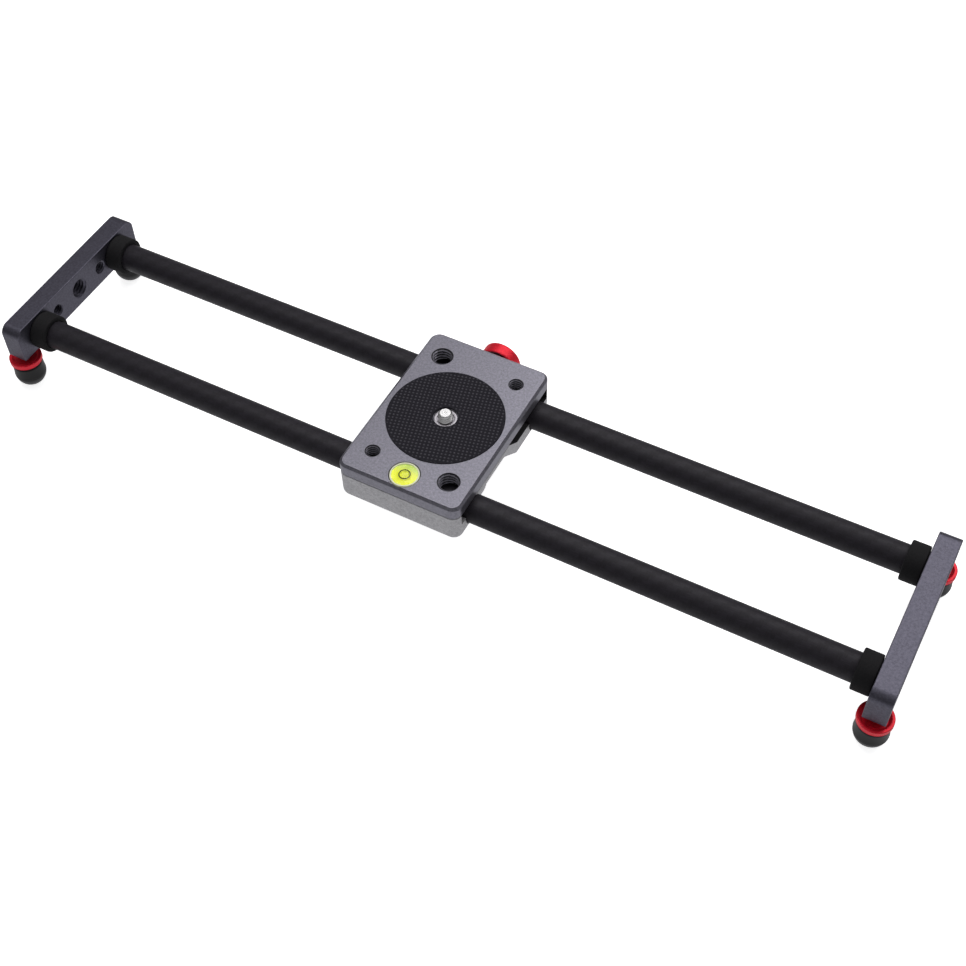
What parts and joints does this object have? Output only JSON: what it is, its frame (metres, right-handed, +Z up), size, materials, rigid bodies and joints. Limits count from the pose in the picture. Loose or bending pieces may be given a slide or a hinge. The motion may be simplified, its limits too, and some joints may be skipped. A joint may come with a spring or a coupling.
{
  "type": "camera slider",
  "caption": "Compact camera slider: a roller carriage with a padded camera seat, level and lock knob runs on twin tube rails between drilled end plates on levelling feet.",
  "frame": {"origin": "middle of the bounding box at the level of the foot soles, which is between the two rails and 2.75 mm from their middle plane towards +Y, because the lock knob stands out there", "axes": "+X along the rails, +Y towards the lock knob, +Z up"},
  "size_m": [0.405, 0.0936, 0.0407],
  "materials": {
    "slate_anodised": "dark slate-grey sand-blasted and anodised aluminium",
    "grey_anodised": "mid-grey sand-blasted and anodised aluminium with a violet cast",
    "red_anodised": "bright red anodised aluminium, knurled",
    "carbon_fibre": "carbon-fibre tube, twill weave under a satin resin",
    "black_rubber": "matt black rubber; the pad has fine raised dots",
    "bright_steel": "bright turned steel",
    "black_steel": "blackened steel",
    "bare_aluminium": "bare turned aluminium",
    "white_acetal": "white acetal",
    "clear_acrylic": "clear acrylic",
    "level_liquid": "yellow-green spirit"
  },
  "bodies": {
    "frame": {"end_plate_left": "slate_anodised", "end_plate_right": "slate_anodised", "rail_front": "carbon_fibre", "rail_back": "carbon_fibre", "bumper_front_left": "black_rubber", "rail_plug_front_left": "bare_aluminium", "rail_screw_front_left": "black_steel", "bumper_back_left": "black_rubber", "rail_plug_back_left": "bare_aluminium", "rail_screw_back_left": "black_steel", "bumper_front_right": "black_rubber", "rail_plug_front_right": "bare_aluminium", "rail_screw_front_right": "black_steel", "bumper_back_right": "black_rubber", "rail_plug_back_right": "bare_aluminium", "rail_screw_back_right": "black_steel"},
    "carriage": {"carriage_deck": "grey_anodised", "carriage_housing": "grey_anodised", "anti_slip_pad": "black_rubber", "screw_retainer": "bright_steel", "level_cup": "clear_acrylic", "level_liquid": "level_liquid", "level_lens": "clear_acrylic", "lock_bush": "bare_aluminium", "roller_bolt_front_left": "black_steel", "roller_bolt_back_left": "black_steel", "roller_bolt_front_right": "black_steel", "roller_bolt_back_right": "black_steel"},
    "roller_front_left": {"roller_front_left": "bright_steel"},
    "roller_back_left": {"roller_back_left": "bright_steel"},
    "roller_front_right": {"roller_front_right": "bright_steel"},
    "roller_back_right": {"roller_back_right": "bright_steel"},
    "camera_screw": {"camera_screw": "bright_steel"},
    "brake": {"brake_shoe": "white_acetal"},
    "lock": {"lock_knob": "red_anodised", "lock_screw": "bright_steel"},
    "foot_front_left": {"foot_rubber_front_left": "black_rubber"},
    "foot_stud_front_left": {"foot_stud_front_left": "bright_steel", "foot_wheel_front_left": "red_anodised"},
    "foot_back_left": {"foot_rubber_back_left": "black_rubber"},
    "foot_stud_back_left": {"foot_stud_back_left": "bright_steel", "foot_wheel_back_left": "red_anodised"},
    "foot_front_right": {"foot_rubber_front_right": "black_rubber"},
    "foot_stud_front_right": {"foot_stud_front_right": "bright_steel", "foot_wheel_front_right": "red_anodised"},
    "foot_back_right": {"foot_rubber_back_right": "black_rubber"},
    "foot_stud_back_right": {"foot_stud_back_right": "bright_steel", "foot_wheel_back_right": "red_anodised"}
  },
  "joints": [
    {"name": "carriage_slide", "type": "slide", "parent": "frame", "child": "carriage", "axis": [1, 0, 0], "range_m": [-0.1523, 0.1583]},
    {"name": "roller_spin_front_left", "type": "hinge", "parent": "carriage", "child": "roller_front_left", "pos_m": [-0.021, -0.01832, 0.0291], "axis": [0, 0, 1], "continuous": true},
    {"name": "roller_spin_back_left", "type": "hinge", "parent": "carriage", "child": "roller_back_left", "pos_m": [-0.021, 0.01282, 0.0291], "axis": [0, 0, 1], "continuous": true},
    {"name": "roller_spin_front_right", "type": "hinge", "parent": "carriage", "child": "roller_front_right", "pos_m": [0.015, -0.01832, 0.0291], "axis": [0, 0, 1], "continuous": true},
    {"name": "roller_spin_back_right", "type": "hinge", "parent": "carriage", "child": "roller_back_right", "pos_m": [0.015, 0.01282, 0.0291], "axis": [0, 0, 1], "continuous": true},
    {"name": "camera_screw_turn", "type": "hinge", "parent": "carriage", "child": "camera_screw", "pos_m": [-0.003, -0.00275, 0.038], "axis": [0, 0, 1], "continuous": true},
    {"name": "brake_press", "type": "slide", "parent": "carriage", "child": "brake", "axis": [0, -1, 0], "range_m": [0, 0.0004]},
    {"name": "lock_turn", "type": "hinge", "parent": "brake", "child": "lock", "pos_m": [-0.003, 0.04225, 0.0255], "axis": [0, -1, 0], "range_deg": [0, 180]},
    {"name": "foot_height_front_left", "type": "slide", "parent": "frame", "child": "foot_front_left", "axis": [0, 0, -1], "range_m": [-0.0014, 0.0028]},
    {"name": "foot_turn_front_left", "type": "hinge", "parent": "foot_front_left", "child": "foot_stud_front_left", "pos_m": [-0.1954, -0.03975, 0.0145], "axis": [0, 0, -1], "range_deg": [-720, 1440]},
    {"name": "foot_height_back_left", "type": "slide", "parent": "frame", "child": "foot_back_left", "axis": [0, 0, -1], "range_m": [-0.0014, 0.0028]},
    {"name": "foot_turn_back_left", "type": "hinge", "parent": "foot_back_left", "child": "foot_stud_back_left", "pos_m": [-0.1954, 0.03425, 0.0145], "axis": [0, 0, -1], "range_deg": [-720, 1440]},
    {"name": "foot_height_front_right", "type": "slide", "parent": "frame", "child": "foot_front_right", "axis": [0, 0, -1], "range_m": [-0.0014, 0.0028]},
    {"name": "foot_turn_front_right", "type": "hinge", "parent": "foot_front_right", "child": "foot_stud_front_right", "pos_m": [0.1954, -0.03975, 0.0145], "axis": [0, 0, -1], "range_deg": [-720, 1440]},
    {"name": "foot_height_back_right", "type": "slide", "parent": "frame", "child": "foot_back_right", "axis": [0, 0, -1], "range_m": [-0.0014, 0.0028]},
    {"name": "foot_turn_back_right", "type": "hinge", "parent": "foot_back_right", "child": "foot_stud_back_right", "pos_m": [0.1954, 0.03425, 0.0145], "axis": [0, 0, -1], "range_deg": [-720, 1440]}
  ],
  "couplings": [
    {"joint": "roller_spin_front_left", "follows": "carriage_slide", "rad_per_m": -181.82},
    {"joint": "roller_spin_back_left", "follows": "carriage_slide", "rad_per_m": 181.82},
    {"joint": "roller_spin_front_right", "follows": "carriage_slide", "rad_per_m": -181.82},
    {"joint": "roller_spin_back_right", "follows": "carriage_slide", "rad_per_m": 181.82},
    {"joint": "lock_turn", "follows": "brake_press", "rad_per_m": 7854},
    {"joint": "foot_turn_front_left", "follows": "foot_height_front_left", "rad_per_m": 8976},
    {"joint": "foot_turn_back_left", "follows": "foot_height_back_left", "rad_per_m": 8976},
    {"joint": "foot_turn_front_right", "follows": "foot_height_front_right", "rad_per_m": 8976},
    {"joint": "foot_turn_back_right", "follows": "foot_height_back_right", "rad_per_m": 8976}
  ]
}
